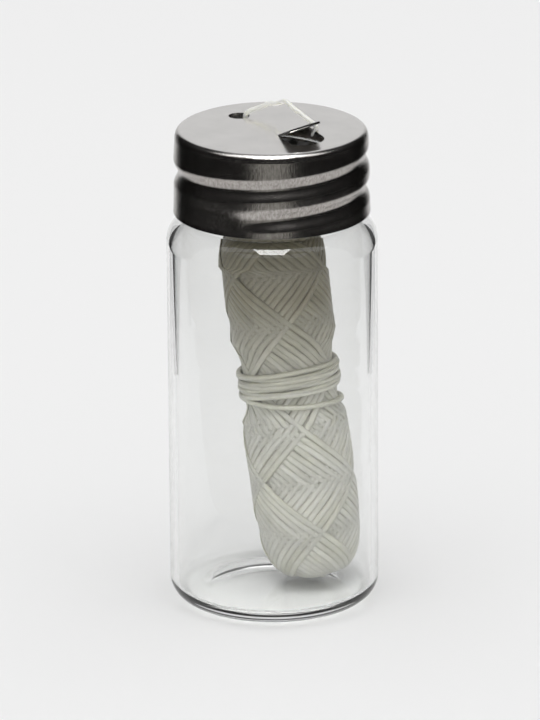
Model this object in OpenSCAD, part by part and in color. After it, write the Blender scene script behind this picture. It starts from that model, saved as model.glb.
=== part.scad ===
// Dental floss dispenser: a clear glass vial, a thin steel screw cap with a lanced cutter tongue,
// and a coreless cross-wound floss bobbin whose free strand runs out through the cap to the cutter.
// Millimetres, +Z up, origin at the middle of the vial's foot, cutter towards -Y and +X.

/* [Vial] */
// Outer diameter of the glass body
vial_d = 28; // [26:0.5:34]
// Height from the foot to the land on top of the shoulder
body_h = 53.3; // [48:0.1:70]
// Thickness of the body wall
wall_t = 1.05; // [0.8:0.05:1.6]
// Thickness of the glass under the bobbin
floor_t = 1.8; // [1.2:0.1:3]
// Outer radius between the wall and the foot
heel_r = 3; // [1.5:0.1:4]
// Inner radius between the wall and the floor
inner_heel_r = 2.2; // [1:0.1:3]
// Outer radius of the shoulder
shoulder_r = 3.3; // [2.2:0.1:4]
// Diameter of the pushed-up middle of the foot
punt_d = 19; // [12:0.5:20]
// Height of the pushed-up middle of the foot
punt_h = 0.5; // [0.2:0.1:0.8]

/* [Neck] */
// Outer diameter of the neck between its threads
neck_d = 23; // [21:0.1:24]
// Height of the neck above the shoulder land
neck_h = 11.6; // [10.5:0.1:14]
// Diameter of the mouth
mouth_d = 19.6; // [17:0.1:20]
// Radius of the fire-polished lip
lip_r = 0.6; // [0.3:0.05:0.8]
// Rise of the screw thread for one turn of the cap
thread_pitch = 4.14; // [3.6:0.02:4.6]
// Height of the glass thread over the neck
thread_h = 0.85; // [0.6:0.05:0.95]
// Width of the glass thread where it meets the neck
thread_w = 1.7; // [1.2:0.1:1.9]
// Turns of the glass thread
thread_turns = 1.4; // [1:0.1:1.5]

/* [Cap] */
// Thickness of the steel sheet
sheet_t = 0.3; // [0.2:0.02:0.4]
// Gap between the lip and the lid
lid_gap = 0.1; // [0.05:0.05:0.3]
// Gap between the shoulder land and the edge of the skirt
skirt_gap = 0.7; // [0.4:0.1:1.5]
// Gap between the crest of the glass thread and the cap
crest_gap = 0.3; // [0.2:0.05:0.5]
// Gap between the neck and the bottom of the rolled groove
root_gap = 0.52; // [0.4:0.02:0.7]
// Radius of the corner between the lid and the side
cap_corner_r = 1; // [0.6:0.1:1.5]
// Turns of the rolled thread groove
groove_turns = 1.46; // [1:0.02:1.5]
// Width of the rolled thread groove
groove_w = 2.9; // [2.2:0.1:3.2]
// Direction from the axis in which the groove starts at its lower end
groove_start = 238; // [0:1:360]
// Height of the groove's lower end over the skirt edge
groove_low = 2; // [1.8:0.1:2.6]
// Diameter of the hole that the floss leaves by
hole_d = 2.8; // [2:0.1:3.4]
// Distance of the floss hole from the axis
hole_offset = 6.96; // [6:0.02:8]
// Direction of the floss hole from the axis
hole_turn = 127.8; // [120:0.2:135]

/* [Cutter] */
// Place of the tongue's near root, to the right of the axis
cutter_x = 0.8; // [0:0.1:1.5]
// Place of the tongue's near root, in front of the axis
cutter_y = 3.4; // [3:0.1:4]
// Width of the tongue
cutter_w = 5.25; // [4.4:0.05:5.6]
// Length of the tongue's short side, from its root to the start of the round end
cutter_len = 5.05; // [4.4:0.05:5.4]
// Radius of the tongue's round end
cutter_tip_r = 3.15; // [2.8:0.05:4]
// How much further back the long side is cut than the short side
cutter_skew = 2.2; // [1:0.1:3]
// Turn of the tongue in the lid
cutter_yaw = 22.8; // [10:0.2:35]
// Angle by which the tongue is bent up
cutter_lift = 25; // [15:1:35]
// Clearance of the sheared edge all round the tongue
shear_gap = 0.06; // [0.04:0.01:0.15]

/* [Floss bobbin] */
// Length of the bobbin
bobbin_l = 50.4; // [44:0.1:52]
// Diameter over the windings
bobbin_d = 14.6; // [12:0.1:15]
// Lean of the bobbin from upright
lean = 9.8; // [6:0.1:11]
// Direction towards which the top of the bobbin leans
lean_turn = 138.3; // [0:0.1:360]
// Place of the bobbin's foot, to the right of the axis
bobbin_x = 5.7; // [5:0.1:6]
// Place of the bobbin's foot, behind the axis
bobbin_y = 1; // [0:0.1:1.5]
// Gap between neighbouring pieces that rest on each other
seat_gap = 0.15; // [0.1:0.05:0.3]
// Width of one winding of the strand
strand_w = 1.1; // [0.8:0.1:1.2]
// Thickness of one winding of the strand
strand_t = 0.55; // [0.4:0.05:0.6]
// Radial gap between the two layers of crossing strands
layer_gap = 0.6; // [0.55:0.05:0.7]
// Number of strokes up and down that the strand makes
strokes = 9; // [7:1:10]
// Diameter of the hole left by the winding mandrel
mandrel_d = 3.6; // [3.4:0.1:4]
// Depth of the mandrel hole from the bobbin's top
mandrel_depth = 15.5; // [14:0.5:20]

/* [Waist wraps] */
// Number of turns round the bobbin's waist
waist_turns = 5; // [3:1:6]
// Height of the middle of the wraps along the bobbin
waist_s = 28.3; // [22:0.1:32]
// Width of one wrap of the strand
wrap_w = 0.75; // [0.5:0.05:0.9]
// Gap between neighbouring wraps
wrap_gap = 0.45; // [0.42:0.01:0.6]
// Depth by which the wraps draw in the bobbin
waist_depth = 1.1; // [0.6:0.1:1.3]
// Drop of the last, loose turn below the others
loose_turn_drop = 1.2; // [0.6:0.1:2]

/* [Free floss] */
// Diameter of the bundled floss where it runs free
floss_d = 0.65; // [0.5:0.01:0.68]

/* [Hidden] */

glass = [0.86, 0.92, 0.9, 0.35];
steel = [0.72, 0.73, 0.74];
floss = [0.82, 0.83, 0.78];
lap = 0.3;
neck_z = body_h;
lip_z = neck_z + neck_h;
lid_z = lip_z + lid_gap;
cap_z = lid_z + sheet_t;
skirt_z = neck_z + skirt_gap;
crest_r = neck_d / 2 + thread_h;
cap_in_r = crest_r + crest_gap;
cap_r = cap_in_r + sheet_t;
groove_in_r = neck_d / 2 + root_gap;
groove_depth = cap_in_r - groove_in_r;

function unit(v) = v / norm(v);
function ease(x) = x <= 0 ? 0 : x >= 1 ? 1 : (1 - cos(180 * x)) / 2;
function arc(c, r, a0, a1, n) = [for (i = [0:n]) c + r * [cos(a0 + (a1 - a0) * i / n), sin(a0 + (a1 - a0) * i / n)]];

// Faces of a tube of rings that all have the same number of points, closed at both ends
function tube_faces(rings, sides) = concat(
    [for (i = [0:rings - 2], k = [0:sides - 1]) [i * sides + k, i * sides + (k + 1) % sides, (i + 1) * sides + k]],
    [for (i = [0:rings - 2], k = [0:sides - 1])
        [i * sides + (k + 1) % sides, (i + 1) * sides + (k + 1) % sides, (i + 1) * sides + k]],
    [for (k = [1:sides - 2]) [0, k + 1, k]],
    [for (k = [1:sides - 2]) [(rings - 1) * sides, (rings - 1) * sides + k, (rings - 1) * sides + k + 1]]);

// Glass vial

shoulder_in_r = shoulder_r - wall_t;
body_r = vial_d / 2;
shoulder_c = [body_r - shoulder_r, neck_z - shoulder_r];
outer_profile = concat(
    [[0, punt_h], [punt_d / 2 - 2, punt_h], [punt_d / 2, 0]],
    arc([body_r - heel_r, heel_r], heel_r, -90, 0, 10),
    arc(shoulder_c, shoulder_r, 0, 90, 10),
    [[neck_d / 2, neck_z]],
    arc([neck_d / 2 - lip_r, lip_z - lip_r], lip_r, 0, 90, 6),
    arc([mouth_d / 2 + lip_r, lip_z - lip_r], lip_r, 90, 180, 6));
inner_profile = concat(
    [[mouth_d / 2, neck_z - wall_t]],
    arc(shoulder_c, shoulder_in_r, 90, 0, 8),
    arc([body_r - wall_t - inner_heel_r, floor_t + inner_heel_r], inner_heel_r, 0, -90, 8),
    [[0, floor_t]]);

thread_steps = 36;
thread_n = round(thread_turns * thread_steps);
thread_start = groove_start + 25;
thread_low = skirt_z + groove_low + thread_pitch * (thread_start - groove_start) / 360 + 0.46 * thread_pitch;

// One cross-section of the glass thread; it tapers away at both ends
function thread_ring(i) =
    let (turn = i / thread_steps, a = thread_start + 360 * turn, z = thread_low + thread_pitch * turn,
         full = min(1, 0.15 + ease(i / 6), 0.15 + ease((thread_n - i) / 6)),
         root = neck_d / 2 - 0.25, crest = neck_d / 2 + thread_h * full,
         half = thread_w / 2, top = thread_w * 0.22)
    [for (p = [[root, -half], [crest, -top], [crest, top], [root, half]])
        [p[0] * cos(a), p[0] * sin(a), z + p[1]]];

module glass_vial() {
    color(glass)
        union() {
            rotate_extrude($fn = 96)
                polygon(concat(outer_profile, inner_profile));
            polyhedron([for (i = [0:thread_n]) each thread_ring(i)], tube_faces(thread_n + 1, 4));
        }
}

// Screw cap

band_low = skirt_z + 0.5;
band_high = cap_z - cap_corner_r - 0.35;
band_sides = 64;
band_levels = 15;
groove_z = skirt_z + groove_low;
groove_end = groove_start + 360 * groove_turns;
groove_fade = 40;

// Outer radius of the plain sheet without its groove
function plain_r(z) = lookup(z, [
    [skirt_z, cap_r + 0.1], [band_low, cap_r + 0.06], [skirt_z + 3, cap_r],
    [band_high - 2.6, cap_r], [band_high, cap_r - 0.15], [cap_z, cap_r - 0.2]]);

// Depth of the groove at a turn angle and a height, for one pass of the helix
function groove_at(a, z) = a < groove_start || a > groove_end ? 0 :
    let (off = abs(z - groove_z - thread_pitch * (a - groove_start) / 360) / (groove_w / 2),
         fade = min(ease((a - groove_start) / groove_fade), ease((groove_end - a) / groove_fade)))
    off >= 1 ? 0 : groove_depth * fade * pow(cos(90 * off), 2);

function band_r(a, z) = plain_r(z) - max([for (pass = [0:2]) groove_at(a + 360 * pass, z)]);

function band_points(inset) = [for (j = [0:band_levels], k = [0:band_sides - 1])
    let (z = band_low + (band_high - band_low) * j / band_levels, a = 360 * k / band_sides,
         r = band_r(a, z) - inset)
    [r * cos(a), r * sin(a), z]];

band_count = band_sides * (band_levels + 1);
function band_quad(a, b, c, d, flip) = flip ? [[a, c, b], [a, d, c]] : [[a, b, c], [a, c, d]];
function band_faces() = concat(
    [for (j = [0:band_levels - 1], k = [0:band_sides - 1], side = [0, 1])
        let (n = (k + 1) % band_sides, base = side * band_count, low = base + j * band_sides,
             high = low + band_sides)
        each band_quad(low + k, high + k, high + n, low + n, side == 1)],
    [for (k = [0:band_sides - 1], rim = [0, 1])
        let (n = (k + 1) % band_sides, out = rim * band_levels * band_sides, inner = out + band_count)
        each band_quad(out + k, out + n, inner + n, inner + k, rim == 1)]);

// The lid and the skirt's edge are sleeves that hold the band's ends inside their sheet
cap_edge_r = cap_r - 0.12;
sleeve = 0.05;
corner_c = [cap_edge_r - cap_corner_r, cap_z - cap_corner_r];

module lid_shell() {
    rim = band_high - lap;
    inner_r = cap_edge_r - sheet_t - sleeve;
    rotate_extrude($fn = 96)
        polygon(concat(
            [[0, lid_z], [0, cap_z]],
            arc(corner_c, cap_corner_r, 90, 0, 8),
            [[cap_edge_r, rim], [inner_r, rim], [inner_r, band_high + 0.1]],
            arc(corner_c, cap_corner_r - sheet_t, 0, 90, 8)));
}

module skirt_ring() {
    outer_r = cap_r + 0.1;
    inner_r = cap_r - sheet_t + 0.08 - sleeve;
    rim = band_low + lap;
    rotate_extrude($fn = 96)
        polygon([[inner_r + sleeve, skirt_z], [outer_r, skirt_z], [outer_r - 0.02, rim],
                 [inner_r, rim], [inner_r, band_low - 0.1]]);
}

// Outline of the tongue and of its window, with both roots on the fold line
module tongue_outline(inset) {
    c = [cutter_w - cutter_tip_r, -(cutter_len - sqrt(cutter_tip_r * cutter_tip_r - pow(cutter_w - cutter_tip_r, 2)))];
    r = cutter_tip_r - inset;
    a0 = 180 + acos((cutter_w - cutter_tip_r - inset) / r);
    polygon(concat([[inset, 0]], arc(c, r, a0, 360, 16), [[cutter_w - inset, cutter_skew]]));
}

module cutter_tongue() {
    fold = atan2(cutter_skew, cutter_w);
    rotate(fold)
        rotate([-cutter_lift, 0, 0])
            rotate(-fold)
                linear_extrude(sheet_t)
                    tongue_outline(shear_gap);
}

module screw_cap() {
    color(steel)
        union() {
            difference() {
                lid_shell();
                translate([hole_offset * cos(hole_turn), hole_offset * sin(hole_turn), lid_z - 1])
                    cylinder(d = hole_d, h = 3, $fn = 48);
                translate([cutter_x, -cutter_y, lid_z - 1])
                    rotate(cutter_yaw)
                        linear_extrude(3)
                            tongue_outline(0);
            }
            translate([cutter_x, -cutter_y, lid_z])
                rotate(cutter_yaw)
                    cutter_tongue();
            polyhedron(concat(band_points(0), band_points(sheet_t)), band_faces());
            skirt_ring();
        }
}

// Floss bobbin, drawn upright along its own axis and then leaned in the vial

ring_slack = 0.15;
winding_t = 2 * strand_t + layer_gap + seat_gap + ring_slack;
core_r = bobbin_d / 2 - winding_t;
waist_half = (waist_turns * (wrap_w + wrap_gap) + loose_turn_drop) / 2 + 0.4;
waist_ramp = 5.5;
mid_s = bobbin_l / 2;

function waist_dip(s) = waist_depth * (1 - ease((abs(s - waist_s + loose_turn_drop / 2) - waist_half) / waist_ramp));
function core_at(s) = core_r * pow(max(0, 1 - pow(abs(s / mid_s - 1), 6)), 1 / 2.2)
    - waist_dip(s) * (abs(s / mid_s - 1) < 0.8 ? 1 : 0);

module lean_in_vial() {
    translate([bobbin_x, bobbin_y, floor_t + seat_gap + 0.1])
        rotate([0, lean, lean_turn])
            children();
}

module bobbin_core() {
    steps = 72;
    side = [for (i = [0:steps]) let (s = mid_s * (1 - cos(180 * i / steps))) [core_at(s), s]];
    color(floss)
        lean_in_vial()
            difference() {
                rotate_extrude($fn = 64)
                    polygon(concat([[0, 0]], [for (p = side) if (p[0] > 0.01) p], [[0, bobbin_l]]));
                translate([0, 0, bobbin_l - mandrel_depth])
                    cylinder(d = mandrel_d, h = mandrel_depth + 1, $fn = 48);
            }
}

// The strand climbs in the inner layer and comes down in the outer one, and turns back near each end.
// The whole number of turns has no divisor in common with the strokes, so they spread evenly round it.
turns_per_stroke = (round(strokes * 7 / 3) - (strokes % 3 == 0 ? 1 : 0)) / strokes;
turnback = 0.995;
end_margin = 3.6;
reach = mid_s - end_margin;
layer_step = strand_t + layer_gap;
winding_rings = round(strokes * turns_per_stroke * 24);
first_stroke = 0.03;

function stroke_at(i) = let (t = first_stroke + (strokes - 2 * first_stroke) * i / winding_rings)
    t + 0.06 * sin(720 * t) / 2;
function winding_s(t) = mid_s + reach * asin(turnback * sin(360 * t)) / asin(turnback);
function winding_layer(t) = ease(0.5 - 6 * cos(360 * t));
function winding_r(t) = core_at(winding_s(t)) + seat_gap + ring_slack + strand_t / 2 + layer_step * winding_layer(t);
function winding_point(t) = let (a = 360 * turns_per_stroke * t, r = winding_r(t))
    [r * cos(a), r * sin(a), winding_s(t)];
function surface_normal(t) = let (a = 360 * turns_per_stroke * t, s = winding_s(t),
    slope = (core_at(s + 0.2) - core_at(s - 0.2)) / 0.4)
    unit([cos(a), sin(a), -slope]);

// A flat band with six corners, wide along the surface and thin across it
function band_ring(p, ahead, out, w, t) = let (side = unit(cross(out, ahead)), up = unit(cross(ahead, side)))
    [for (q = [[-0.5, 0], [-0.3, 0.5], [0.3, 0.5], [0.5, 0], [0.3, -0.5], [-0.3, -0.5]])
        p + q[0] * w * side + q[1] * t * up];

function winding_ring(i) = let (t = stroke_at(i), d = 0.0005)
    band_ring(winding_point(t), unit(winding_point(t + d) - winding_point(t - d)), surface_normal(t), strand_w, strand_t);

// Gap between two points of a flat strand: beside each other or one above the other, whichever is larger
function flat_gap(p, q, n, w, t) = let (v = q - p, off = abs(v * n)) max(off - t, norm(v - (v * n) * n) - w);

winding_samples = [for (i = [0:2:winding_rings]) let (t = stroke_at(i)) [winding_point(t), surface_normal(t)]];
winding_gap = min([for (i = [0:len(winding_samples) - 8], j = [i + 6:len(winding_samples) - 1])
    flat_gap(winding_samples[i][0], winding_samples[j][0], winding_samples[i][1], strand_w, strand_t)]);
echo(winding_least_gap = winding_gap);

module bobbin_winding() {
    color(floss)
        lean_in_vial()
            polyhedron([for (i = [0:winding_rings]) each winding_ring(i)], tube_faces(winding_rings + 1, 6));
}

// Waist wraps: one strand wound close round the waist, with its last turn loose below

wrap_pitch = wrap_w + wrap_gap;
wrap_rings = waist_turns * 24;
waist_r = core_at(waist_s) + winding_t + seat_gap + ring_slack / 2 + strand_t / 2;
function wrap_point(i) = let (turn = i / 24, loose = ease(1 - turn))
    [waist_r * cos(360 * turn), waist_r * sin(360 * turn),
     waist_s + wrap_pitch * (turn - waist_turns / 2) - loose_turn_drop * loose];
function wrap_ring(i) = let (a = 360 * i / 24)
    band_ring(wrap_point(i), unit(wrap_point(i + 0.1) - wrap_point(i - 0.1)), [cos(a), sin(a), 0], wrap_w, strand_t);
wrap_least = min([for (i = [0:wrap_rings - 20], j = [i + 18:wrap_rings])
    flat_gap(wrap_point(i), wrap_point(j), unit([wrap_point(i)[0], wrap_point(i)[1], 0]), wrap_w, strand_t)]);
echo(wrap_least_gap = wrap_least);

module waist_wrap() {
    color(floss)
        lean_in_vial()
            polyhedron([for (i = [0:wrap_rings]) each wrap_ring(i)], tube_faces(wrap_rings + 1, 6));
}

// Free floss: routes chosen by hand, the inside one from the mandrel hole up to the lid,
// the outside one up through the floss hole, over the lid and under the tongue

inside_route = [
    [0.2, 5.9, 38.6], [0.2, 5.9, 40], [0.2, 5.9, 42], [0.2, 5.9, 44], [0.2, 5.9, 46], [0.2, 5.9, 48],
    [0.2, 5.9, 50], [0.2, 5.9, 51.5], [0.2, 5.7, 53], [0, 5, 54.6], [-0.4, 4.2, 56.2],
    [-1, 3.6, 57.8], [-1.7, 3.6, 59.4], [-2.5, 4.1, 61], [-3.1, 4.7, 62.4], [-3.4, 5.1, 63.6], [-3.4, 5.2, 64.85]];
outside_route = [
    [-3.4, 5.2, 64.9], [-3.4, 5.2, 65.5], [-3, 5.2, 66], [-2.2, 5.2, 66.3], [-1.2, 5.1, 66.7],
    [-0.2, 4.9, 67.2], [0.6, 4.2, 67.3], [1.2, 3.4, 67.7], [1.9, 2.7, 68.1], [2.5, 2.2, 67.7],
    [3.2, 1.7, 67.2], [3.9, 1.3, 66.8], [4.6, 0.9, 66.3], [5.3, 0.4, 65.9], [5.8, -0.4, 65.7],
    [6, -1.3, 65.7], [5.8, -2.2, 65.7], [5.5, -3.1, 65.7], [5.4, -4.1, 65.6]];

// Rings of a round cord along the points of a route, square to it
function route_ahead(route, i) = unit(route[min(i + 1, len(route) - 1)] - route[max(i - 1, 0)]);
function cord_ring(route, i, sides) =
    let (ahead = route_ahead(route, i), side = unit(cross(ahead, [0.7, 0.7, 0])), up = cross(side, ahead))
    [for (k = [0:sides - 1]) route[i] + floss_d / 2 * (cos(360 * k / sides) * side + sin(360 * k / sides) * up)];

module cord(route) {
    sides = 8;
    polyhedron([for (i = [0:len(route) - 1]) each cord_ring(route, i, sides)], tube_faces(len(route), sides));
}

module lead_inside() {
    color(floss)
        cord(inside_route);
}

module lead_outside() {
    color(floss)
        cord(outside_route);
}

glass_vial();
screw_cap();
bobbin_core();
bobbin_winding();
waist_wrap();
lead_inside();
lead_outside();
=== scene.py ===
"""Looks of the floss dispenser: glass vial, rolled steel cap with its cutter tongue, wound floss bobbin."""
import math

import bmesh
import bpy
from mathutils import Matrix, Vector


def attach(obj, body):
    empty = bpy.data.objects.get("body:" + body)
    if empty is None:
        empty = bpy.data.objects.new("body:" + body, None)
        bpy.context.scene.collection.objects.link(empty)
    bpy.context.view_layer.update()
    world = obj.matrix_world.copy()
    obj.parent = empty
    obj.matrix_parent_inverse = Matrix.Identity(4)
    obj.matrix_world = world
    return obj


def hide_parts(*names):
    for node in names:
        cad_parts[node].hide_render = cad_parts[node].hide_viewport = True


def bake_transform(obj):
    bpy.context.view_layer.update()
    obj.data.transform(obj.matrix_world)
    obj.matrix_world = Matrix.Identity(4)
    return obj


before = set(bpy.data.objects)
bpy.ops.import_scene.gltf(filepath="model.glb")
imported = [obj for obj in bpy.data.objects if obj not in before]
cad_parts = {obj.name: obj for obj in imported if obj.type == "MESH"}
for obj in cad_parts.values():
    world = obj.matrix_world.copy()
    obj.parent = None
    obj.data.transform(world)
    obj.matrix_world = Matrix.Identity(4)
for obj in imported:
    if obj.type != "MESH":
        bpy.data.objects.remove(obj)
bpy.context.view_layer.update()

bl_info = {
    "name": "Floss Dispenser",
    "version": (1, 0, 0),
    "blender": (4, 5, 0),
    "location": "View3D > Sidebar > Floss",
    "description": "Builds a glass floss dispenser with a threaded steel cap and a wound bobbin",
    "category": "Object",
}

MM = 0.001
TAU = 2 * math.pi
# Points nearer to each other than this are merged, in metres
DOUBLES = 1e-7

# Sizes shared by the pieces, in millimetres and degrees; they repeat the CAD model's own values
BODY_H = 53.3
NECK_R = 11.5
MOUTH_R = 9.8
LIP_Z = 64.9
LID_Z = 65.0
SKIRT_Z = 54.0
CAP_R = 12.95
CAP_TOP = 65.3
SHEET = 0.3
THREAD_PITCH = 4.14
GROOVE_START = 238.0
GROOVE_Z = 56.0
GROOVE_TURNS = 1.46
HOLE_AT = (-4.266, 5.5)
HOLE_R = 1.4
TONGUE_ROOT = (0.8, -3.4)
TONGUE_YAW = 22.8
TONGUE_SKEW = 2.2
BOBBIN_L = 50.4
BOBBIN_FOOT = (5.7, 1.0, 2.05)
BOBBIN_LEAN = 9.8
BOBBIN_TURN = 138.3
MANDREL_R = 1.8
MANDREL_DEPTH = 15.5
WAIST_S = 28.3

# The cap's edge and groove differ a little from the CAD model's, to take the light as the real ones do
CAP_EDGE_R = CAP_R - 0.2
GROOVE_DEPTH = 0.58
GROOVE_W = 3.4

# The camera's place in metres, its lens in millimetres, and its angles in degrees and radians
CAMERA_AT = (-0.000392, -0.9, 0.339)
CAMERA_LENS = 356.9
LOOK_DOWN = 18.78
CAMERA_ROLL = -0.0071

# Route of the free floss, in millimetres: out of the mandrel hole to the lid, and over it to the cut end
INSIDE_ROUTE = [
    (0.2, 5.9, 38.6), (0.2, 5.9, 40), (0.2, 5.9, 42), (0.2, 5.9, 44), (0.2, 5.9, 46), (0.2, 5.9, 48),
    (0.2, 5.9, 50), (0.2, 5.9, 51.5), (0.2, 5.7, 53), (0, 5, 54.6), (-0.4, 4.2, 56.2),
    (-1, 3.6, 57.8), (-1.7, 3.6, 59.4), (-2.5, 4.1, 61), (-3.1, 4.7, 62.4), (-3.4, 5.1, 63.6)]
OUTSIDE_ROUTE = [
    (-3.4, 5.2, 64.9), (-3.4, 5.2, 65.5), (-3, 5.2, 66), (-2.2, 5.2, 66.3), (-1.2, 5.1, 66.7),
    (-0.2, 4.9, 67.2), (0.6, 4.2, 67.3), (1.2, 3.4, 67.7), (1.9, 2.7, 68.1), (2.5, 2.2, 67.7),
    (3.2, 1.7, 67.2), (3.9, 1.3, 66.8), (4.6, 0.9, 66.3), (5.3, 0.4, 65.9), (5.8, -0.4, 65.7),
    (6, -1.3, 65.7), (5.8, -2.2, 65.7), (5.5, -3.1, 65.7), (5.4, -4.1, 65.6)]


# Mesh helpers

def ease(x):
    """Smooth step from 0 to 1."""
    if x <= 0:
        return 0.0
    if x >= 1:
        return 1.0
    return (1 - math.cos(math.pi * x)) / 2


def arc(cx, cz, r, a0, a1, n):
    """Points of an arc in the profile plane, angles in degrees."""
    return [(cx + r * math.cos(math.radians(a0 + (a1 - a0) * i / n)),
             cz + r * math.sin(math.radians(a0 + (a1 - a0) * i / n))) for i in range(n + 1)]


def to_metres(points):
    """Points in millimetres as points in metres."""
    return [tuple(c * MM for c in point) for point in points]


def new_object(name, verts, faces, smooth=True):
    """A mesh object from points in millimetres, at the origin."""
    mesh = bpy.data.meshes.new(name)
    mesh.from_pydata(to_metres(verts), [], faces)
    mesh.validate()
    mesh.update()
    obj = bpy.data.objects.new(name, mesh)
    bpy.context.scene.collection.objects.link(obj)
    if smooth:
        mesh.shade_smooth()
    return obj


def outward(obj, merge=0.0):
    """Points every face outwards, after doubles are merged."""
    bm = bmesh.new()
    bm.from_mesh(obj.data)
    if merge:
        bmesh.ops.remove_doubles(bm, verts=bm.verts, dist=merge)
    bmesh.ops.recalc_face_normals(bm, faces=bm.faces)
    bm.to_mesh(obj.data)
    bm.free()
    obj.data.update()


def skin(rings):
    """Points and faces through rings of (radius, height) pairs round Z; a ring of radius 0 is a pole."""
    segments = len(rings[0])
    verts, grid = [], []
    for ring in rings:
        if ring[0][0] < 1e-6:
            grid.append([len(verts)] * segments)
            verts.append((0, 0, ring[0][1]))
            continue
        grid.append(list(range(len(verts), len(verts) + segments)))
        for k, (r, z) in enumerate(ring):
            a = TAU * k / segments
            verts.append((r * math.cos(a), r * math.sin(a), z))
    faces = []
    for low, high in zip(grid, grid[1:]):
        for k in range(segments):
            n = (k + 1) % segments
            face = list(dict.fromkeys((low[k], low[n], high[n], high[k])))
            if len(face) > 2:
                faces.append(face)
    return verts, faces


def flat_rings(profile, segments):
    """Rings for skin from a profile of (radius, height), the same all the way round."""
    return [[point] * segments for point in profile]


def bridge(rings, count):
    """Faces between closed rings of points that follow one another."""
    faces = []
    for low in range(0, (rings - 1) * count, count):
        high = low + count
        for k in range(count):
            n = (k + 1) % count
            faces.append((low + k, low + n, high + n, high + k))
    return faces


def end_faces(rings, count):
    """The first and the last ring as faces."""
    return [tuple(range(count))[::-1], tuple(range((rings - 1) * count, rings * count))]


def prism(name, outline, low, high):
    """A straight solid from a plan outline."""
    count = len(outline)
    verts = [(*p, low) for p in outline] + [(*p, high) for p in outline]
    obj = new_object(name, verts, end_faces(2, count) + bridge(2, count), False)
    outward(obj)
    return obj


def bake(obj):
    """Turns the evaluated object into a plain mesh and removes its modifiers."""
    graph = bpy.context.evaluated_depsgraph_get()
    mesh = bpy.data.meshes.new_from_object(obj.evaluated_get(graph))
    obj.modifiers.clear()
    obj.data = mesh


def carve(obj, tool, operation="DIFFERENCE"):
    """Applies an exact boolean with a tool object and removes the tool."""
    modifier = obj.modifiers.new("carve", "BOOLEAN")
    modifier.object = tool
    modifier.operation = operation
    modifier.solver = "EXACT"
    bake(obj)
    bpy.data.objects.remove(tool)


def join(target, other):
    """Joins another mesh object into the target."""
    bm = bmesh.new()
    bm.from_mesh(target.data)
    bm.from_mesh(other.data)
    bm.to_mesh(target.data)
    bm.free()
    bpy.data.objects.remove(other)


def smooth_by_angle(obj, degrees):
    """Smooth faces with sharp edges where the surface turns by more than an angle."""
    obj.data.shade_smooth()
    bm = bmesh.new()
    bm.from_mesh(obj.data)
    limit = math.radians(degrees)
    for edge in bm.edges:
        edge.smooth = len(edge.link_faces) == 2 and edge.calc_face_angle(0) < limit
    bm.to_mesh(obj.data)
    bm.free()


def own_material(obj, material):
    """Gives the object one material."""
    obj.data.materials.clear()
    obj.data.materials.append(material)


def hide_from(obj, *rays):
    """Hides an object from kinds of rays: camera, diffuse, glossy, transmission or shadow."""
    for ray in rays:
        setattr(obj, "visible_" + ray, False)


# Node helpers; a value given to one is a number, a colour or another node's output

def node_tree(name):
    """A new node material with its Principled shader."""
    material = bpy.data.materials.new(name)
    material.use_nodes = True
    nodes = material.node_tree.nodes
    return material, nodes, material.node_tree.links, nodes["Principled BSDF"]


def feed(links, value, socket):
    """Links an output to a socket, or sets the socket's own value."""
    if isinstance(value, bpy.types.NodeSocket):
        links.new(value, socket)
    else:
        socket.default_value = value


def set_inputs(node, values):
    """Sets a node's own inputs by name."""
    for name, value in values.items():
        node.inputs[name].default_value = value


def object_coords(nodes, links, scale=(1, 1, 1)):
    """Object coordinates through a Mapping node with a scale."""
    coords = nodes.new("ShaderNodeTexCoord")
    mapping = nodes.new("ShaderNodeMapping")
    mapping.inputs["Scale"].default_value = scale
    links.new(coords.outputs["Object"], mapping.inputs["Vector"])
    return mapping.outputs["Vector"]


def attribute(nodes, name):
    """A number stored on the surface."""
    node = nodes.new("ShaderNodeAttribute")
    node.attribute_name = name
    return node.outputs["Fac"]


def split(nodes, links, vector):
    """The X, Y and Z of a vector, by name."""
    node = nodes.new("ShaderNodeSeparateXYZ")
    links.new(vector, node.inputs["Vector"])
    return node.outputs


def combine(nodes, links, x, y=0.0):
    """A vector of an X and a Y."""
    node = nodes.new("ShaderNodeCombineXYZ")
    feed(links, x, node.inputs["X"])
    feed(links, y, node.inputs["Y"])
    return node.outputs["Vector"]


def math_node(nodes, links, operation, first, second=None):
    """A maths node on one or two values."""
    node = nodes.new("ShaderNodeMath")
    node.operation = operation
    feed(links, first, node.inputs[0])
    if second is not None:
        feed(links, second, node.inputs[1])
    return node.outputs["Value"]


def map_range(nodes, links, value, start, end, low=0.0, high=1.0):
    """A value between start and end, mapped to between low and high."""
    node = nodes.new("ShaderNodeMapRange")
    set_inputs(node, {"From Min": start, "From Max": end, "To Min": low, "To Max": high})
    links.new(value, node.inputs["Value"])
    return node.outputs["Result"]


def mix(nodes, links, kind, factor, first, second, blend="MIX"):
    """Two numbers (FLOAT) or colours (RGBA) mixed by a factor."""
    node = nodes.new("ShaderNodeMix")
    node.data_type = kind
    node.blend_type = blend
    for name, value in (("Factor", factor), ("A", first), ("B", second)):
        feed(links, value, node.inputs[name])
    return node.outputs["Result"]


def multiply(nodes, links, first, second, amount):
    """One colour multiplied by another, by an amount."""
    return mix(nodes, links, "RGBA", amount, first, second, "MULTIPLY")


def noise(nodes, links, vector, scale, detail, roughness=0.5):
    """A noise texture on a vector."""
    texture = nodes.new("ShaderNodeTexNoise")
    set_inputs(texture, {"Scale": scale, "Detail": detail, "Roughness": roughness})
    links.new(vector, texture.inputs["Vector"])
    return texture.outputs["Fac"]


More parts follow.
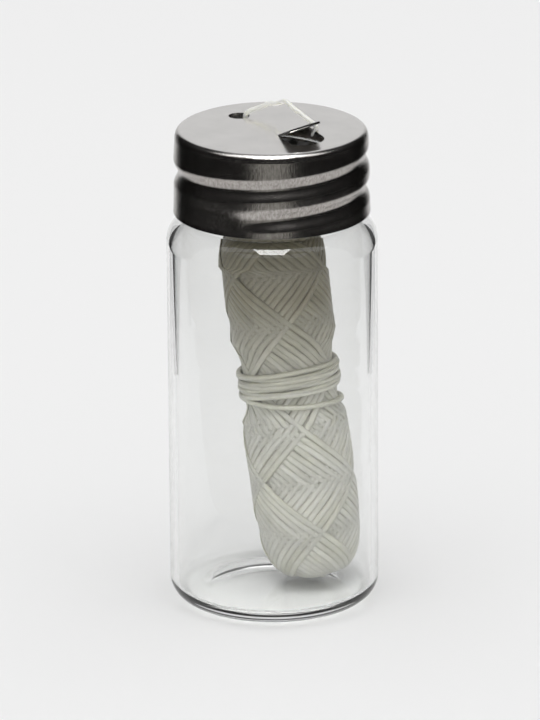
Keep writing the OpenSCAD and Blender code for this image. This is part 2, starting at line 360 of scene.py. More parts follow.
def ramp(nodes, links, value, stops):
    """A colour ramp with (position, colour) stops."""
    node = nodes.new("ShaderNodeValToRGB")
    elements = node.color_ramp.elements
    for element, (place, colour) in zip(elements, stops, strict=True):
        element.position = place
        element.color = (*colour, 1)
    links.new(value, node.inputs["Fac"])
    return node.outputs["Color"]


def bump(nodes, links, height, strength, distance, normal=None):
    """A bump node on a height, over another bump where one is given."""
    node = nodes.new("ShaderNodeBump")
    set_inputs(node, {"Strength": strength, "Distance": distance})
    links.new(height, node.inputs["Height"])
    if normal is not None:
        links.new(normal, node.inputs["Normal"])
    return node.outputs["Normal"]


# Materials

def glass_material(tint):
    """Clear glass with a faint green tint and slight waves, which casts only a soft, pale shadow."""
    material, nodes, links, shader = node_tree("vial_glass")
    set_inputs(shader, {"Base Color": (*tint, 1), "Roughness": 0.0, "IOR": 1.5, "Transmission Weight": 1.0})
    waves = noise(nodes, links, object_coords(nodes, links, (1, 1, 0.35)), 160, 2)
    links.new(bump(nodes, links, waves, 0.14, 0.00006), shader.inputs["Normal"])
    clear = nodes.new("ShaderNodeBsdfTransparent")
    clear.inputs["Color"].default_value = (0.79, 0.793, 0.79, 1)
    path = nodes.new("ShaderNodeLightPath")
    either = nodes.new("ShaderNodeMixShader")
    links.new(path.outputs["Is Shadow Ray"], either.inputs[0])
    links.new(shader.outputs["BSDF"], either.inputs[1])
    links.new(clear.outputs["BSDF"], either.inputs[2])
    links.new(either.outputs["Shader"], nodes["Material Output"].inputs["Surface"])
    return material


def steel_material(base):
    """Rolled thin steel: a brushed, speckled side darkened by painted shade, a smoother lid, scuffs and an
    uneven sheen.
    """
    material, nodes, links, shader = node_tree("cap_steel")
    shader.inputs["Metallic"].default_value = 1.0
    height = split(nodes, links, object_coords(nodes, links))["Z"]
    side = map_range(nodes, links, height, (CAP_TOP - 0.05) * MM, (CAP_TOP - 0.5) * MM, 0.12)
    grain = noise(nodes, links, object_coords(nodes, links, (1, 1, 0.3)), 4200, 3, 0.7)
    patches = noise(nodes, links, object_coords(nodes, links), 260, 5, 0.6)
    worn = ramp(nodes, links, patches, [(0.3, tuple(c * 0.93 for c in base)), (0.65, base)])
    # Painted shade: the speckle darkens the side's colour as a whole, which dims its reflections; the
    # speckle's spread is the grain.
    speckle_and_shade = ramp(nodes, links, grain, [(0.36, (0.36, 0.34, 0.325)), (0.62, (0.6, 0.58, 0.56))])
    side_grain_and_shade = multiply(nodes, links, worn, speckle_and_shade, 1.0)
    links.new(mix(nodes, links, "RGBA", side, worn, side_grain_and_shade), shader.inputs["Base Color"])
    links.new(map_range(nodes, links, patches, 0, 1, 0.17, 0.25), shader.inputs["Roughness"])
    rough = math_node(nodes, links, "MULTIPLY", grain, side)
    brushing = bump(nodes, links, rough, 1.0, 0.00003)
    links.new(bump(nodes, links, patches, 0.06, 0.00006, brushing), shader.inputs["Normal"])
    return material


def inside_shade_material():
    """The dull inside of the cap, its near-black colour painted as shade."""
    material, nodes, links, shader = node_tree("cap_inside_shade")
    set_inputs(shader, {"Metallic": 1.0, "Roughness": 0.5})
    shade_mottle = noise(nodes, links, object_coords(nodes, links), 500, 4, 0.6)
    # Painted shade: the near-black colour and its mottling stand for the shade inside the cap.
    colour = ramp(nodes, links, shade_mottle, [(0.3, (0.06, 0.05, 0.042)), (0.7, (0.12, 0.105, 0.09))])
    links.new(colour, shader.inputs["Base Color"])
    links.new(bump(nodes, links, shade_mottle, 0.3, 0.00005), shader.inputs["Normal"])
    return material


def floss_material(name, base, wound):
    """Waxed, translucent strand with fine fibres along it.

    Wound floss also varies along the strand; painted shade darkens its edges, where strands meet, and
    darkens and browns it towards the bobbin's top, under the cap.
    """
    material, nodes, links, shader = node_tree(name)
    white = (1, 1, 1)
    along, across = attribute(nodes, "along"), attribute(nodes, "across")
    strand_plane = combine(nodes, links, along, math_node(nodes, links, "MULTIPLY", across, 0.012))
    fibres = noise(nodes, links, strand_plane, 900, 3, 0.7)
    patches = noise(nodes, links, object_coords(nodes, links), 420, 4, 0.6)
    shade = ramp(nodes, links, patches, [(0.25, tuple(c * 0.84 for c in base)), (0.7, base)])
    fine = ramp(nodes, links, fibres, [(0.25, (0.7, 0.7, 0.67)), (0.6, white)])
    colour = multiply(nodes, links, shade, fine, 0.6)
    if wound:
        drift = noise(nodes, links, combine(nodes, links, along), 24, 3, 0.6)
        slow = ramp(nodes, links, drift, [(0.38, (0.7, 0.7, 0.66)), (0.62, white)])
        # Painted shade: the strand darkens towards its edges, where the strands lie against each other.
        edge = math_node(nodes, links, "MULTIPLY", math_node(nodes, links, "ABSOLUTE", across), 2.0)
        edge = math_node(nodes, links, "POWER", edge, 3.0)
        painted_gap_shade = ramp(nodes, links, edge, [(0.05, white), (0.9, (0.6, 0.58, 0.5))])
        # Painted shade: darker and browner towards the bobbin's top, which lies under the cap.
        height = split(nodes, links, object_coords(nodes, links))["Z"]
        cap_shade_mask = map_range(nodes, links, height, 0.027, 0.047)
        painted_cap_shade = ramp(nodes, links, cap_shade_mask, [(0.0, white), (0.75, (0.43, 0.395, 0.315))])
        for tone, amount in ((slow, 0.8), (painted_gap_shade, 0.8), (painted_cap_shade, 1.0)):
            colour = multiply(nodes, links, colour, tone, amount)
    links.new(colour, shader.inputs["Base Color"])
    set_inputs(shader, {
        "Roughness": 0.38, "Subsurface Weight": 0.3, "Subsurface Radius": (0.0006, 0.0006, 0.00045),
        "Subsurface Scale": 1.0, "Sheen Weight": 0.1})
    links.new(bump(nodes, links, fibres, 0.6, 0.00008), shader.inputs["Normal"])
    return material


def card_material(name, level, near):
    """A matt card, pale within a distance in metres of the object's axis and at its own level beyond."""
    material, nodes, links, shader = node_tree(name)
    set_inputs(shader, {"Roughness": 1.0, "Specular IOR Level": 0.0})
    far = nodes.new("ShaderNodeVectorMath")
    far.operation = "LENGTH"
    links.new(object_coords(nodes, links, (1, 1, 0)), far.inputs[0])
    fade = map_range(nodes, links, far.outputs["Value"], near, near + 0.05)
    shade = ramp(nodes, links, fade, [(0.0, (0.8, 0.8, 0.8)), (1.0, (level, level, level * 0.95))])
    links.new(shade, shader.inputs["Base Color"])
    return material


def glow_material(name, strength):
    """A shining face of the softbox."""
    material, nodes, links, shader = node_tree(name)
    nodes.remove(shader)
    emission = nodes.new("ShaderNodeEmission")
    emission.inputs["Strength"].default_value = strength
    links.new(emission.outputs["Emission"], nodes["Material Output"].inputs["Surface"])
    return material


# Strands: a path with its outward direction, swept into a flat or round strand by Geometry Nodes

def strand_tree():
    """The node tree that sweeps a path into a strand, with named inputs for its sizes."""
    name = "strand_sweep"
    if name in bpy.data.node_groups:
        return bpy.data.node_groups[name]
    tree = bpy.data.node_groups.new(name, "GeometryNodeTree")
    for label, kind in (("Geometry", "Geometry"), ("Width", "Float"), ("Thickness", "Float"),
                        ("Sides", "Int"), ("Material", "Material")):
        tree.interface.new_socket(label, in_out="INPUT", socket_type="NodeSocket" + kind)
    tree.interface.new_socket("Geometry", in_out="OUTPUT", socket_type="NodeSocketGeometry")

    def add(kind, **inputs):
        node = tree.nodes.new(kind)
        for label, value in inputs.items():
            feed(tree.links, value, node.inputs[label.replace("_", " ")])
        return node

    source = add("NodeGroupInput").outputs
    path = add("GeometryNodeMeshToCurve", Mesh=source["Geometry"])
    outward_at = add("GeometryNodeInputNamedAttribute", Name="outward")
    outward_at.data_type = "FLOAT_VECTOR"
    turned = add("GeometryNodeSetCurveNormal", Curve=path.outputs["Curve"])
    turned.mode = "FREE"
    tree.links.new(outward_at.outputs["Attribute"], turned.inputs["Normal"])
    length = add("GeometryNodeSplineParameter")
    along = add("GeometryNodeStoreNamedAttribute", Name="along", Geometry=turned.outputs["Curve"],
                Value=length.outputs["Length"])
    circle = add("GeometryNodeCurvePrimitiveCircle", Resolution=source["Sides"], Radius=0.5)
    place = add("GeometryNodeInputPosition")
    parts = add("ShaderNodeSeparateXYZ", Vector=place.outputs["Position"])
    across = add("GeometryNodeStoreNamedAttribute", Name="across", Geometry=circle.outputs["Curve"],
                 Value=parts.outputs["Y"])
    scale = add("ShaderNodeCombineXYZ", X=source["Thickness"], Y=source["Width"], Z=1)
    flat = add("GeometryNodeTransform", Geometry=across.outputs["Geometry"], Scale=scale.outputs["Vector"])
    sweep = add("GeometryNodeCurveToMesh", Curve=along.outputs["Geometry"],
                Profile_Curve=flat.outputs["Geometry"], Fill_Caps=True)
    realize = add("GeometryNodeRealizeInstances", Geometry=sweep.outputs["Mesh"])
    paint = add("GeometryNodeSetMaterial", Geometry=realize.outputs["Geometry"],
                Material=source["Material"])
    add("NodeGroupOutput", Geometry=paint.outputs["Geometry"])
    return tree


def strand(name, points, normals, width, thickness, sides, material):
    """One strand along points in millimetres; its flat side faces along the normals."""
    mesh = bpy.data.meshes.new(name)
    mesh.from_pydata(to_metres(points), [(i, i + 1) for i in range(len(points) - 1)], [])
    outwards = mesh.attributes.new("outward", "FLOAT_VECTOR", "POINT")
    outwards.data.foreach_set("vector", [c for n in normals for c in n])
    obj = bpy.data.objects.new(name, mesh)
    bpy.context.scene.collection.objects.link(obj)
    modifier = obj.modifiers.new("sweep", "NODES")
    tree = strand_tree()
    modifier.node_group = tree
    values = {"Width": width * MM, "Thickness": thickness * MM, "Sides": sides, "Material": material}
    for item in tree.interface.items_tree:
        if item.in_out == "INPUT" and item.name in values:
            modifier[item.identifier] = values[item.name]
    bake(obj)
    own_material(obj, material)
    obj.data.shade_smooth()
    outward(obj)
    return obj


def refine(points, count):
    """A smooth path through points, with equal steps, and its length."""
    fine = 12
    dense = []
    last = len(points) - 1
    for i in range(last):
        p0, p1, p2, p3 = (Vector(points[max(0, min(last, i + k))]) for k in (-1, 0, 1, 2))
        for step in range(fine):
            t = step / fine
            dense.append(0.5 * ((2 * p1) + (p2 - p0) * t + (2 * p0 - 5 * p1 + 4 * p2 - p3) * t * t
                                + (3 * p1 - p0 - 3 * p2 + p3) * t ** 3))
    dense.append(Vector(points[-1]))
    lengths = [0.0]
    for a, b in zip(dense, dense[1:]):
        lengths.append(lengths[-1] + (b - a).length)
    path = []
    k = 0
    for i in range(count + 1):
        want = lengths[-1] * i / count
        while k < len(lengths) - 2 and lengths[k + 1] < want:
            k += 1
        span = lengths[k + 1] - lengths[k]
        path.append(dense[k].lerp(dense[k + 1], (want - lengths[k]) / span if span else 0))
    return path, lengths[-1]


# Bobbin forms, drawn upright: s is the height along the bobbin

def lean_matrix():
    """Places what is drawn upright on the bobbin's own axis."""
    turn = Matrix.Rotation(math.radians(BOBBIN_TURN), 4, "Z")
    tilt = Matrix.Rotation(math.radians(BOBBIN_LEAN), 4, "Y")
    return Matrix.Translation([c * MM for c in BOBBIN_FOOT]) @ turn @ tilt


def waist_dip(s, depth):
    """How far the wraps draw the bobbin in: all of the depth near the waist, eased out above and below."""
    half, fade, lower = 3.4, 2.6, 0.6
    return depth * (1 - ease((abs(s - WAIST_S + lower) - half) / fade))


def bobbin_radius(s, radius, depth):
    """Radius of the bobbin: full, with a rounder lower end, a squarer upper end and a drawn-in waist."""
    middle = BOBBIN_L / 2
    power = 8 if s < middle else 13
    full = radius * max(0.0, 1 - abs(s / middle - 1) ** power) ** (1 / 2.2)
    return full - (waist_dip(s, depth) if abs(s / middle - 1) < 0.8 else 0)


def bobbin_normal(s, a, radius, depth):
    """Direction square to the bobbin's surface."""
    step = 0.2
    slope = (bobbin_radius(s + step, radius, depth) - bobbin_radius(s - step, radius, depth)) / (2 * step)
    return Vector((math.cos(a), math.sin(a), -slope)).normalized()


# Cap forms

def groove_depth(a, z):
    """Depth of the rolled thread groove at an angle in degrees and a height."""
    fade = 40
    end = GROOVE_START + 360 * GROOVE_TURNS
    deepest = 0.0
    for turn in range(3):
        b = a + 360 * turn
        if not GROOVE_START <= b <= end:
            continue
        off = abs(z - GROOVE_Z - THREAD_PITCH * (b - GROOVE_START) / 360) / (GROOVE_W / 2)
        if off < 1:
            share = min(ease((b - GROOVE_START) / fade), ease((end - b) / fade))
            deepest = max(deepest, GROOVE_DEPTH * share * math.cos(math.pi / 2 * off) ** 2)
    return deepest


def plain_radius(z):
    """Outer radius of the cap without its groove."""
    table = [(SKIRT_Z, CAP_R + 0.1), (SKIRT_Z + 0.5, CAP_R + 0.06), (SKIRT_Z + 3, CAP_R),
             (CAP_TOP - 3.95, CAP_R), (CAP_TOP - 1.35, CAP_R - 0.15), (CAP_TOP, CAP_EDGE_R)]
    for (z0, r0), (z1, r1) in zip(table, table[1:]):
        if z <= z1:
            return r0 + (r1 - r0) * (z - z0) / (z1 - z0)
    return table[-1][1]


def tongue_shape(sizes, inset):
    """Outline of the tongue in its own plane, from one root round the tip to the other root."""
    width, tip = sizes.tongue_width, sizes.tongue_tip
    cx = width - tip
    cy = -(sizes.tongue_length - math.sqrt(tip * tip - cx * cx))
    radius = tip - inset
    start = 180 + math.degrees(math.acos((cx - inset) / radius))
    return [(inset, 0)] + arc(cx, cy, radius, start, 360, 40) + [(width - inset, TONGUE_SKEW)]


def place_on_lid(p):
    """A point of the tongue's plane in the lid, in millimetres."""
    a = math.radians(TONGUE_YAW)
    return (TONGUE_ROOT[0] + p[0] * math.cos(a) - p[1] * math.sin(a),
            TONGUE_ROOT[1] + p[0] * math.sin(a) + p[1] * math.cos(a))


# Sizes and colours that a user would change

class FlossSizes(bpy.types.PropertyGroup):
    """Sizes and colours of the bobbin and the free floss."""
    strokes: bpy.props.IntProperty(
        name="Strokes", description="Strokes up and down of the outer windings", default=56)
    turns: bpy.props.FloatProperty(
        name="Turns", description="Turns of the strand in one stroke up and down", default=7 / 3 + 0.0088)
    strand_width: bpy.props.FloatProperty(
        name="Strand width", description="Width of the flat strand, in millimetres", default=0.9)
    strand_thick: bpy.props.FloatProperty(
        name="Strand thickness", description="Thickness of the flat strand, in millimetres", default=0.28)
    build_up: bpy.props.FloatProperty(
        name="Build-up", description="Growth of the radius over all strokes, in millimetres", default=0.5)
    radius: bpy.props.FloatProperty(
        name="Bobbin radius", description="Radius over the windings, in millimetres", default=7.3)
    waist_depth: bpy.props.FloatProperty(
        name="Waist depth", description="Depth of the drawn-in waist, in millimetres", default=1.0)
    free_diameter: bpy.props.FloatProperty(
        name="Free floss diameter", description="Diameter of the bundled free floss, in millimetres",
        default=0.65)
    colour: bpy.props.FloatVectorProperty(
        name="Floss colour", description="Colour of the waxed fibre", subtype="COLOR", size=3,
        default=(0.88, 0.875, 0.77))


class VialSizes(bpy.types.PropertyGroup):
    """Sizes and tint of the glass vial."""
    radius: bpy.props.FloatProperty(
        name="Radius", description="Outer radius, in millimetres", default=14.0)
    wall: bpy.props.FloatProperty(
        name="Wall", description="Wall thickness, in millimetres", default=1.05)
    floor: bpy.props.FloatProperty(
        name="Floor", description="Glass under the bobbin, in millimetres", default=1.8)
    heel: bpy.props.FloatProperty(
        name="Heel radius", description="Radius at the foot, in millimetres", default=3.0)
    shoulder: bpy.props.FloatProperty(
        name="Shoulder radius", description="Radius of the shoulder, in millimetres", default=3.3)
    tint: bpy.props.FloatVectorProperty(
        name="Glass tint", description="Tint of the clear glass", subtype="COLOR", size=3,
        default=(0.962, 0.966, 0.962))


class CapSizes(bpy.types.PropertyGroup):
    """Sizes and colour of the rolled steel cap."""
    corner: bpy.props.FloatProperty(
        name="Corner", description="Radius of the top corner, in millimetres", default=1.0)
    tongue_width: bpy.props.FloatProperty(
        name="Tongue width", description="Width of the cutter tongue, in millimetres", default=5.25)
    tongue_length: bpy.props.FloatProperty(
        name="Tongue length", description="Length of the tongue's short side, in millimetres", default=5.05)
    tongue_tip: bpy.props.FloatProperty(
        name="Tongue tip radius", description="Radius of the tongue's round end, in millimetres",
        default=3.15)
    lift: bpy.props.FloatProperty(
        name="Tongue lift", description="Angle by which the tongue is bent up", subtype="ANGLE",
        default=math.radians(25))
    colour: bpy.props.FloatVectorProperty(
        name="Steel colour", description="Colour of the steel", subtype="COLOR", size=3,
        default=(0.84, 0.825, 0.81))


class StudioSizes(bpy.types.PropertyGroup):
    """Light levels and colour of the studio."""
    backdrop: bpy.props.FloatProperty(
        name="Backdrop", description="Brightness of the pale backdrop", default=0.863)
    ambient: bpy.props.FloatProperty(
        name="Ambient", description="Soft light from all round", default=0.83)
    lamp: bpy.props.FloatProperty(
        name="Softbox", description="Power of the overhead softbox", subtype="POWER", default=3.8)


# Steps, one for each piece or group of like pieces

class FLOSS_OT_camera(bpy.types.Operator):
    """Make the camera"""
    bl_idname = "floss.camera"
    bl_label = "Camera"

    def execute(self, context):
        data = bpy.data.cameras.new("camera")
        data.sensor_width = 36
        data.lens = CAMERA_LENS
        data.clip_end = 50
        camera = bpy.data.objects.new("camera", data)
        context.scene.collection.objects.link(camera)
        pitch = Matrix.Rotation(math.radians(90 - LOOK_DOWN), 4, "X")
        roll = Matrix.Rotation(CAMERA_ROLL, 4, "Z")
        camera.matrix_world = Matrix.Translation(CAMERA_AT) @ pitch @ roll
        context.scene.camera = camera
        return {"FINISHED"}


class FLOSS_OT_free_floss(bpy.types.Operator):
    """Make the free strand that runs from the bobbin through the lid to the cutter"""
    bl_idname = "floss.free_floss"
    bl_label = "Free floss"

    def execute(self, context):
        sizes = context.scene.floss_sizes
        material = floss_material("free_floss_fibre", (0.93, 0.93, 0.88), False)
        path, length = refine(INSIDE_ROUTE + OUTSIDE_ROUTE, 150)
        side = [Vector((0.7, 0.7, 0))] * len(path)
        obj = strand("free_floss", path, side, sizes.free_diameter, sizes.free_diameter, 16, material)
        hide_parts("lead_inside", "lead_outside")
        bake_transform(obj)
        return {"FINISHED"}


class FLOSS_OT_vial(bpy.types.Operator):
    """Make the glass vial with its neck thread"""
    bl_idname = "floss.vial"
    bl_label = "Glass vial"

    def execute(self, context):
        sizes = context.scene.vial_sizes
        vial = self.shell(sizes)
        carve(vial, self.thread(), "UNION")
        smooth_by_angle(vial, 40)
        own_material(vial, glass_material(tuple(sizes.tint)))
        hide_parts("glass_vial")
        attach(vial, "vial")
        return {"FINISHED"}

    def shell(self, sizes):
        """The glass in one profile: up the outside from the foot to the lip, and down the inside."""
        r, wall, heel, shoulder, floor = sizes.radius, sizes.wall, sizes.heel, sizes.shoulder, sizes.floor
        inner = r - wall
        lip, in_shoulder, in_heel = 0.6, 3, 1.1
        rows = (12, 22, 32, 42)
        profile = [(0, 0.5), (4, 0.48), (7, 0.4), (8.6, 0.16), (9.5, 0.02)]
        profile += arc(r - heel, heel, heel, -90, 0, 20)
        profile += [(r, z) for z in rows]
        profile += arc(r - shoulder, BODY_H - shoulder, shoulder, 0, 73, 18)
        profile += [(NECK_R + 0.08, BODY_H + 0.03), (NECK_R, BODY_H + 0.4)]
        profile += arc(NECK_R - lip, LIP_Z - lip, lip, 0, 90, 8)
        profile += arc(MOUTH_R + lip, LIP_Z - lip, lip, 90, 180, 8)
        profile += [(MOUTH_R, BODY_H - 0.2), (MOUTH_R + 0.15, BODY_H - 0.75)]
        profile += arc(inner - in_shoulder, BODY_H - wall - in_shoulder, in_shoulder, 86, 0, 18)
        profile += [(inner, z) for z in reversed(rows)]
        profile += arc(inner - in_heel, floor + in_heel, in_heel, 0, -90, 16)
        profile += [(8, floor + 0.02), (4, floor), (0, floor)]
        vial = new_object("vial_glass", *skin(flat_rings(profile, 256)))
        outward(vial, DOUBLES)
        return vial

    def thread(self):
        """The bead that winds round the neck, in mesh with the cap's groove, and runs out at both ends."""
        turns, steps, section, fade = 1.4, 64, 9, 10
        width, proud, root = 0.85, 0.85, NECK_R - 0.2
        # The bead starts this many degrees after the groove, and this share of a pitch above it
        lag, above = 25, 0.46
        start = GROOVE_START + lag
        low = GROOVE_Z + THREAD_PITCH * lag / 360 + above * THREAD_PITCH
        count = round(turns * steps)
        verts = []
        for i in range(count + 1):
            turn = i / steps
            a = math.radians(start + 360 * turn)
            full = min(1, 0.1 + ease(i / fade), 0.1 + ease((count - i) / fade))
            for k in range(section):
                t = k / (section - 1) * 2 - 1
                rise = proud * full * max(0.0, math.cos(t * math.pi / 2)) ** 0.6
                radius = root + rise if abs(t) < 1 else root
                z = low + THREAD_PITCH * turn + t * width
                verts.append((radius * math.cos(a), radius * math.sin(a), z))
        faces = bridge(count + 1, section) + end_faces(count + 1, section)
        thread = new_object("neck_thread", verts, faces)
        outward(thread)
        return thread


class FLOSS_OT_cap(bpy.types.Operator):
    """Make the steel cap with its rolled groove, floss hole and cutter tongue"""
    bl_idname = "floss.cap"
    bl_label = "Screw cap"

    def execute(self, context):
        sizes = context.scene.cap_sizes
        cap = self.sheet(sizes.corner)
        angles = [TAU * k / 64 for k in range(64)]
        hole = [(HOLE_AT[0] + HOLE_R * math.cos(a), HOLE_AT[1] + HOLE_R * math.sin(a)) for a in angles]
        carve(cap, prism("hole_tool", hole, LID_Z - 1, CAP_TOP + 1))
        window = [place_on_lid(p) for p in tongue_shape(sizes, 0)]
        carve(cap, prism("window_tool", window, LID_Z - 1, CAP_TOP + 1))
        join(cap, self.tongue(sizes))
        smooth_by_angle(cap, 32)
        own_material(cap, steel_material(tuple(sizes.colour)))
        self.shade_inside(cap)
        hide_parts("screw_cap")
        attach(cap, "cap")
        return {"FINISHED"}

    def sheet(self, corner):
        """The cap as one closed sheet: over the top and down the outside, then up the inside."""
        segments, levels = 360, 72
        lid = (0, 3, 6, 9, 10.6)
        bottom, top = SKIRT_Z, CAP_TOP - corner - 0.05
        heights = [bottom + (top - bottom) * j / levels for j in range(levels + 1)]

        def band(inset):
            return [[(plain_radius(z) - groove_depth(360 * k / segments, z) - inset, z)
                     for k in range(segments)] for z in heights]

        above = [(r, CAP_TOP) for r in lid]
        above += arc(CAP_EDGE_R - corner, CAP_TOP - corner, corner, 90, 4, 14)
        below = arc(CAP_EDGE_R - corner, CAP_TOP - corner, corner - SHEET, 4, 90, 10)
        below += [(r, LID_Z) for r in reversed(lid)]
        rings = flat_rings(above, segments)
        rings += band(0)[::-1]
        rings += flat_rings([(plain_radius(bottom) - 0.1, bottom)], segments)
        rings += band(SHEET)
        rings += flat_rings(below, segments)
        cap = new_object("cap_steel", *skin(rings))
        outward(cap, DOUBLES)
        return cap

    def tongue(self, sizes):
        """The cutter tongue, bent up along its skewed fold, with a fine bevel round both faces."""
        outline = tongue_shape(sizes, 0.06)
        fold = math.atan2(TONGUE_SKEW, sizes.tongue_width)
        turn = Matrix.Rotation(fold, 3, "Z") @ Matrix.Rotation(-sizes.lift, 3, "X")
        turn = turn @ Matrix.Rotation(-fold, 3, "Z")
        rings = [(0.03, 0.0), (0.0, 0.03), (0.0, SHEET - 0.05), (0.05, SHEET)]
        centre = Vector((sizes.tongue_width / 2, -1.5, 0))
        verts = []
        for inset, height in rings:
            for x, y in outline:
                p = Vector((x, y, 0))
                p += (centre - p).normalized() * inset
                p.z = height
                p = turn @ p
                verts.append((*place_on_lid(p), LID_Z + p.z))
        faces = end_faces(len(rings), len(outline)) + bridge(len(rings), len(outline))
        tongue = new_object("tongue", verts, faces, False)
        outward(tongue)
        return tongue

    def shade_inside(self, cap):
        """Gives the faces inside the sheet's middle, and the faces that look down, the dull finish with its
        painted shade.
        """
        cap.data.materials.append(inside_shade_material())
        for face in cap.data.polygons:
            x, y, z = face.center / MM
            angle = math.degrees(math.atan2(y, x)) % 360
            within = math.hypot(x, y) < plain_radius(z) - groove_depth(angle, z) - SHEET * 0.6
            inwards = face.normal.x * x + face.normal.y * y < 0
            # These faces lie inside the cap or face down, and take the painted shade.
            if (z < CAP_TOP - 1 and inwards and within) or face.normal.z < -0.6:
                face.material_index = 1


class FLOSS_OT_bobbin(bpy.types.Operator):
    """Make the wound bobbin: its body, the crossing outer windings and the waist wraps"""
    bl_idname = "floss.bobbin"
    bl_label = "Floss bobbin"

    def execute(self, context):
        sizes = context.scene.floss_sizes
        material = floss_material("floss_fibre", tuple(sizes.colour), True)
        self.core(sizes, material)
        self.winding(sizes, material)
        self.wraps(sizes, material)
        return {"FINISHED"}

    def finish(self, obj, *nodes):
        """Leans a piece that was drawn upright, and says what it stands for."""
        obj.data.transform(lean_matrix())
        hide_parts(*nodes)
        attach(obj, "bobbin")

    def core(self, sizes, material):
        """The body of the bobbin under the outer windings, with the mandrel hole in its top."""
        base = sizes.radius - sizes.build_up - sizes.strand_thick
        steps = 90
        profile = [(0, 0.02)]
        for i in range(1, steps):
            s = BOBBIN_L / 2 * (1 - math.cos(math.pi * i / steps))
            r = bobbin_radius(s, base, sizes.waist_depth)
            if s > BOBBIN_L / 2 and r < MANDREL_R + 0.1:
                break
            profile.append((r, s))
        hole_end = BOBBIN_L - MANDREL_DEPTH
        profile += [(MANDREL_R, profile[-1][1] - 0.3), (MANDREL_R, hole_end), (0, hole_end)]
        core = new_object("bobbin_body", *skin(flat_rings(profile, 128)))
        outward(core, DOUBLES)
        smooth_by_angle(core, 40)
        own_material(core, material)
        self.finish(core, "bobbin_core")

    def winding(self, sizes, material):
        """The outer windings: one strand laid up and down, each stroke over the last."""
        turns, strokes = sizes.turns, sizes.strokes
        base = sizes.radius - sizes.build_up - sizes.strand_thick / 2
        per_turn, margin = 44, 1.3
        reach = BOBBIN_L / 2 - margin
        # The nearer this is to 1, the more sharply the strand turns back at the ends
        back = 0.9965
        steps = round(strokes * turns * per_turn)
        points, normals = [], []
        for i in range(steps + 1):
            t = strokes * i / steps
            t += 0.03 * math.sin(2 * TAU * t)
            a = TAU * turns * t
            s = BOBBIN_L / 2 + reach * math.asin(back * math.sin(TAU * t)) / math.asin(back)
            wander = 0.12 * math.sin(37 * t) + 0.08 * math.sin(91 * t)
            s += wander * (1 - abs(s / BOBBIN_L * 2 - 1))
            r = bobbin_radius(s, base, sizes.waist_depth) + sizes.build_up * t / strokes
            points.append((r * math.cos(a), r * math.sin(a), s))
            normals.append(bobbin_normal(s, a, base, sizes.waist_depth))
        obj = strand(
            "bobbin_windings", points, normals, sizes.strand_width, sizes.strand_thick, 8, material)
        self.finish(obj, "bobbin_winding")

    def wraps(self, sizes, material):
        """The strand wound close round the waist, with one loose turn that drops below the others."""
        turns, steps, pitch, thick = 8, 64, 0.47, 0.72
        tight = sizes.radius - sizes.waist_depth
        points, normals = [], []
        for i in range(turns * steps + 1):
            turn = i / steps
            a = TAU * turn
            # The first turn hangs lower, and the others climb by the pitch
            drop = 2.1 * ease((turn - 0.08) / 0.5) * (1 - ease((turn - 0.66) / 0.42))
            sway = 0.13 * math.sin(2.3 * a + turn) + 0.08 * math.sin(0.7 * a)
            s = WAIST_S - 2.2 + pitch * max(0.0, turn - 0.6) - drop + sway
            loose = bobbin_radius(s, sizes.radius, sizes.waist_depth)
            r = max(tight, loose) + thick / 2 + 0.1 * math.sin(1.7 * a)
            points.append((r * math.cos(a), r * math.sin(a), s))
            normals.append((math.cos(a), math.sin(a), 0))
        obj = strand("waist_wraps", points, normals, thick, thick, 12, material)
        self.finish(obj, "waist_wrap")


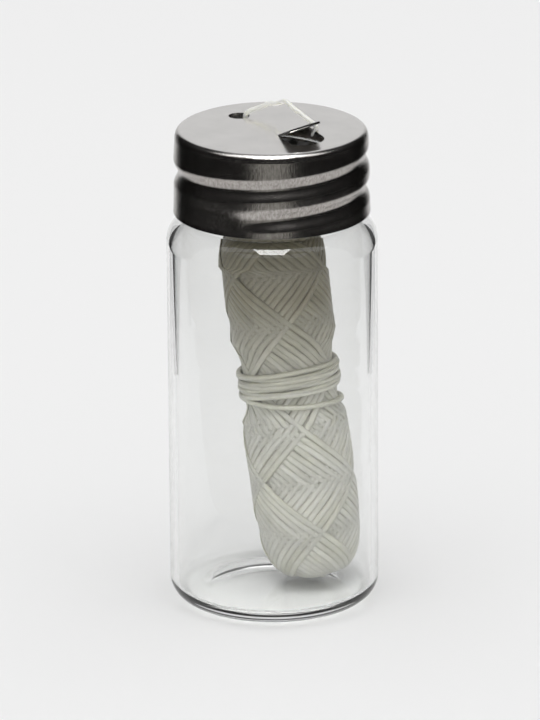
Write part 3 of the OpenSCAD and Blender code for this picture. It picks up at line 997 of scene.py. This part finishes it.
class FLOSS_OT_studio(bpy.types.Operator):
    """Make the floor, the softbox, the dark cards and the pale world"""
    bl_idname = "floss.studio"
    bl_label = "Studio"

    def execute(self, context):
        sizes = context.scene.studio_sizes
        self.floor()
        self.world(context, sizes)
        self.softbox(context, sizes)
        self.cards()
        context.scene.view_settings.view_transform = "Standard"
        return {"FINISHED"}

    def board(self, name, verts, faces, material):
        """A flat or bent board of the studio, which isn't part of the object."""
        obj = new_object(name, verts, faces, False)
        own_material(obj, material)
        return obj

    def floor(self):
        """The pale floor, which keeps the object's shadow."""
        material, _, _, shader = node_tree("pale_floor")
        set_inputs(shader, {
            "Base Color": (0.87, 0.87, 0.87, 1), "Roughness": 0.9, "Specular IOR Level": 0.0})
        half = 3000
        corners = [(-half, -half, 0), (half, -half, 0), (half, half, 0), (-half, half, 0)]
        self.board("floor", corners, [(0, 1, 2, 3)], material)

    def world(self, context, sizes):
        """Pale to the camera and through glass, a soft sky as light, and in reflections dark in front."""
        world = bpy.data.worlds.new("studio")
        context.scene.world = world
        world.use_nodes = True
        nodes, links = world.node_tree.nodes, world.node_tree.links
        nodes.clear()
        direction = split(nodes, links, nodes.new("ShaderNodeTexCoord").outputs["Generated"])
        path = nodes.new("ShaderNodeLightPath").outputs
        dark = 0.015
        behind = map_range(nodes, links, direction["Y"], 0.45, 0.7, dark, sizes.backdrop)
        above = map_range(nodes, links, direction["Z"], 0.8, 0.95, dark, 0.38)
        mirrored = math_node(nodes, links, "MAXIMUM", behind, above)
        sky = map_range(nodes, links, direction["Z"], 0, 1, sizes.ambient * 0.4, sizes.ambient * 1.5)
        level = mix(nodes, links, "FLOAT", path["Is Glossy Ray"], sky, mirrored)
        seen = math_node(nodes, links, "MAXIMUM", path["Is Camera Ray"], path["Is Transmission Ray"])
        background = nodes.new("ShaderNodeBackground")
        links.new(mix(nodes, links, "FLOAT", seen, level, sizes.backdrop), background.inputs["Strength"])
        output = nodes.new("ShaderNodeOutputWorld")
        links.new(background.outputs["Background"], output.inputs["Surface"])

    def softbox(self, context, sizes):
        """The overhead lamp that lights the scene, and the panels that reflections show in its place."""
        data = bpy.data.lights.new("softbox", "AREA")
        data.shape = "RECTANGLE"
        data.size, data.size_y = 1.1, 1.1
        data.energy = sizes.lamp
        lamp = bpy.data.objects.new("softbox", data)
        lamp.location = (0, 0, 1.05)
        context.scene.collection.objects.link(lamp)
        hide_from(lamp, "glossy")
        high = 1050
        for name, strength, left, right, front in (
                ("softbox_front", 15, -225, 225, -700), ("softbox_left", 2, -900, -220, -400),
                ("softbox_right", 2, 220, 900, -400)):
            corners = [(left, front, high), (right, front, high), (right, 0, high), (left, 0, high)]
            panel = self.board(name, corners, [(0, 1, 2, 3)], glow_material(name, strength))
            hide_from(panel, "camera", "diffuse", "shadow", "transmission")

    def cards(self):
        """Cards that light nothing: on the floor, seen in metal, and at both sides, seen in glass too."""
        dark = card_material("dark_card", 0.006, 0.1)
        grey = card_material("grey_card", 0.42, 0.1)
        flag = card_material("dark_flag", 0.006, 0.0)
        steps = 24
        for name, material, first, last in (
                ("card_left", dark, -20, -146), ("card_right", dark, 20, 146),
                ("card_front", grey, -20, 20)):
            verts = []
            for i in range(steps + 1):
                a = math.radians(-90 + first + (last - first) * i / steps)
                verts += [(r * math.cos(a), r * math.sin(a), 0.4) for r in (90, 2500)]
            faces = [(2 * i, 2 * i + 1, 2 * i + 3, 2 * i + 2) for i in range(steps)]
            card = self.board(name, verts, faces, material)
            hide_from(card, "camera", "diffuse", "shadow", "transmission")
        radius, steps = 100, 16
        levels = ((0.5, 48, 53), (14, 42, 58), (60, 32, 84), (260, 32, 84))
        for side, name in ((-1, "side_card_left"), (1, "side_card_right")):
            verts = []
            for i in range(steps + 1):
                for z, near, far in levels:
                    a = math.radians(90 - side * (near + (far - near) * i / steps))
                    verts.append((radius * math.cos(a), radius * math.sin(a), z))
            faces = [(4 * i + k, 4 * i + k + 1, 4 * i + k + 5, 4 * i + k + 4)
                     for i in range(steps) for k in range(3)]
            hide_from(self.board(name, verts, faces, flag), "camera", "diffuse", "shadow")


class FLOSS_PT_panel(bpy.types.Panel):
    """Lists the steps that build the dispenser"""
    bl_label = "Floss Dispenser"
    bl_idname = "FLOSS_PT_panel"
    bl_space_type = "VIEW_3D"
    bl_region_type = "UI"
    bl_category = "Floss"

    def draw(self, context):
        layout = self.layout
        for step in STEPS:
            layout.operator(step.bl_idname)
        for group, cls in GROUPS.items():
            box = layout.box()
            for name in cls.__annotations__:
                box.prop(getattr(context.scene, group), name)


STEPS = (FLOSS_OT_camera, FLOSS_OT_free_floss, FLOSS_OT_vial, FLOSS_OT_cap, FLOSS_OT_bobbin,
         FLOSS_OT_studio)
GROUPS = {"floss_sizes": FlossSizes, "vial_sizes": VialSizes, "cap_sizes": CapSizes,
          "studio_sizes": StudioSizes}


def register():
    """Registers the classes and the scene's property groups."""
    for cls in (*GROUPS.values(), *STEPS, FLOSS_PT_panel):
        bpy.utils.register_class(cls)
    for name, cls in GROUPS.items():
        setattr(bpy.types.Scene, name, bpy.props.PointerProperty(type=cls))


def unregister():
    """Removes what register adds."""
    for name in GROUPS:
        delattr(bpy.types.Scene, name)
    for cls in (FLOSS_PT_panel, *reversed(STEPS), *GROUPS.values()):
        bpy.utils.unregister_class(cls)


def main():
    """Builds every piece in order."""
    register()
    bpy.ops.floss.camera()
    bpy.ops.floss.free_floss()
    bpy.ops.floss.vial()
    bpy.ops.floss.cap()
    bpy.ops.floss.bobbin()
    bpy.ops.floss.studio()


if __name__ == "__main__":
    main()
